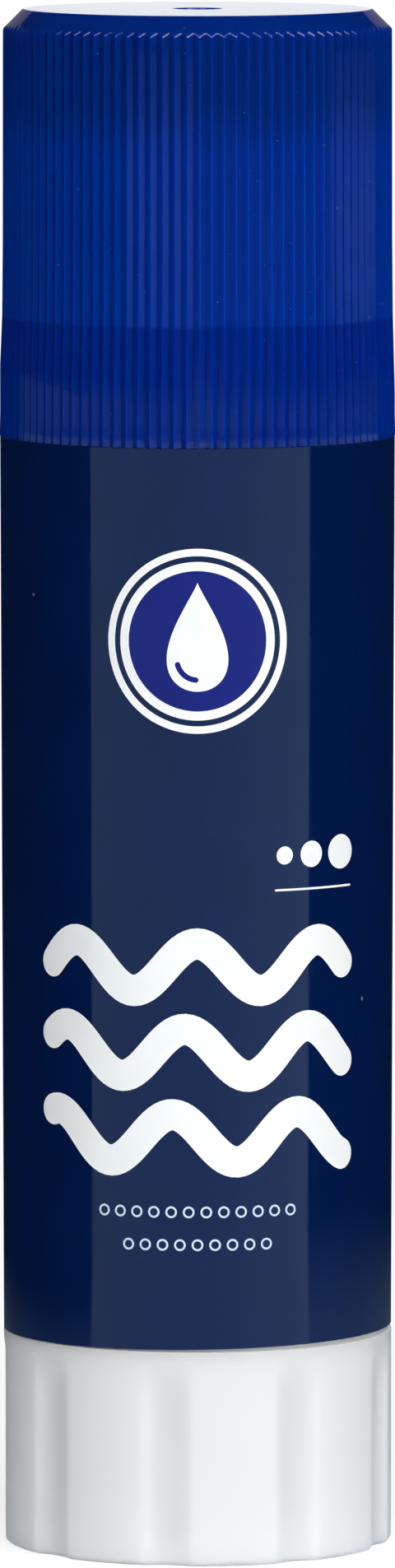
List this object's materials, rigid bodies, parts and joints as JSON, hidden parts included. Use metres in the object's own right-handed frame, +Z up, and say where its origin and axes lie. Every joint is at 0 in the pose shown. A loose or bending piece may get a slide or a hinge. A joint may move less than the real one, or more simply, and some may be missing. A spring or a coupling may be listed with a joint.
{
  "type": "glue stick",
  "caption": "Twist-up glue stick: a ribbed blue pull-off cap over a labelled tube, with a fluted white knob that turns a screw and raises a carrier of solid glue.",
  "frame": {"origin": "centre of the knob's foot ring, on the surface that the stick stands on", "axes": "+Z up along the stick's axis towards the cap, -Y out of the front of the label, +X to its right"},
  "size_m": [0.0242, 0.0243, 0.094],
  "materials": {
    "cap_plastic": "gloss",
    "tube_plastic": "satin",
    "label_film": "gloss",
    "knob_plastic": "satin",
    "screw_plastic": "satin",
    "glue": "satin"
  },
  "bodies": {
    "tube": {"tube": "tube_plastic", "label": "label_film"},
    "knob": {"twist_knob": "knob_plastic", "spindle": "screw_plastic"},
    "carrier": {"carrier": "screw_plastic", "glue_bar": "glue"},
    "cap": {"cap": "cap_plastic"}
  },
  "joints": [
    {"name": "knob_turn", "type": "hinge", "parent": "tube", "child": "knob", "pos_m": [0, 0, 0], "axis": [0, 0, 1], "range_deg": [0, 3240]},
    {"name": "carrier_slide", "type": "slide", "parent": "tube", "child": "carrier", "axis": [0, 0, 1], "range_m": [0, 0.054], "deforming": ["glue_bar"]},
    {"name": "cap_pull", "type": "slide", "parent": "tube", "child": "cap", "axis": [0, 0, 1], "range_m": [0, 0.03]}
  ],
  "couplings": [
    {"joint": "carrier_slide", "follows": "knob_turn", "m_per_rad": 0.00095493}
  ]
}
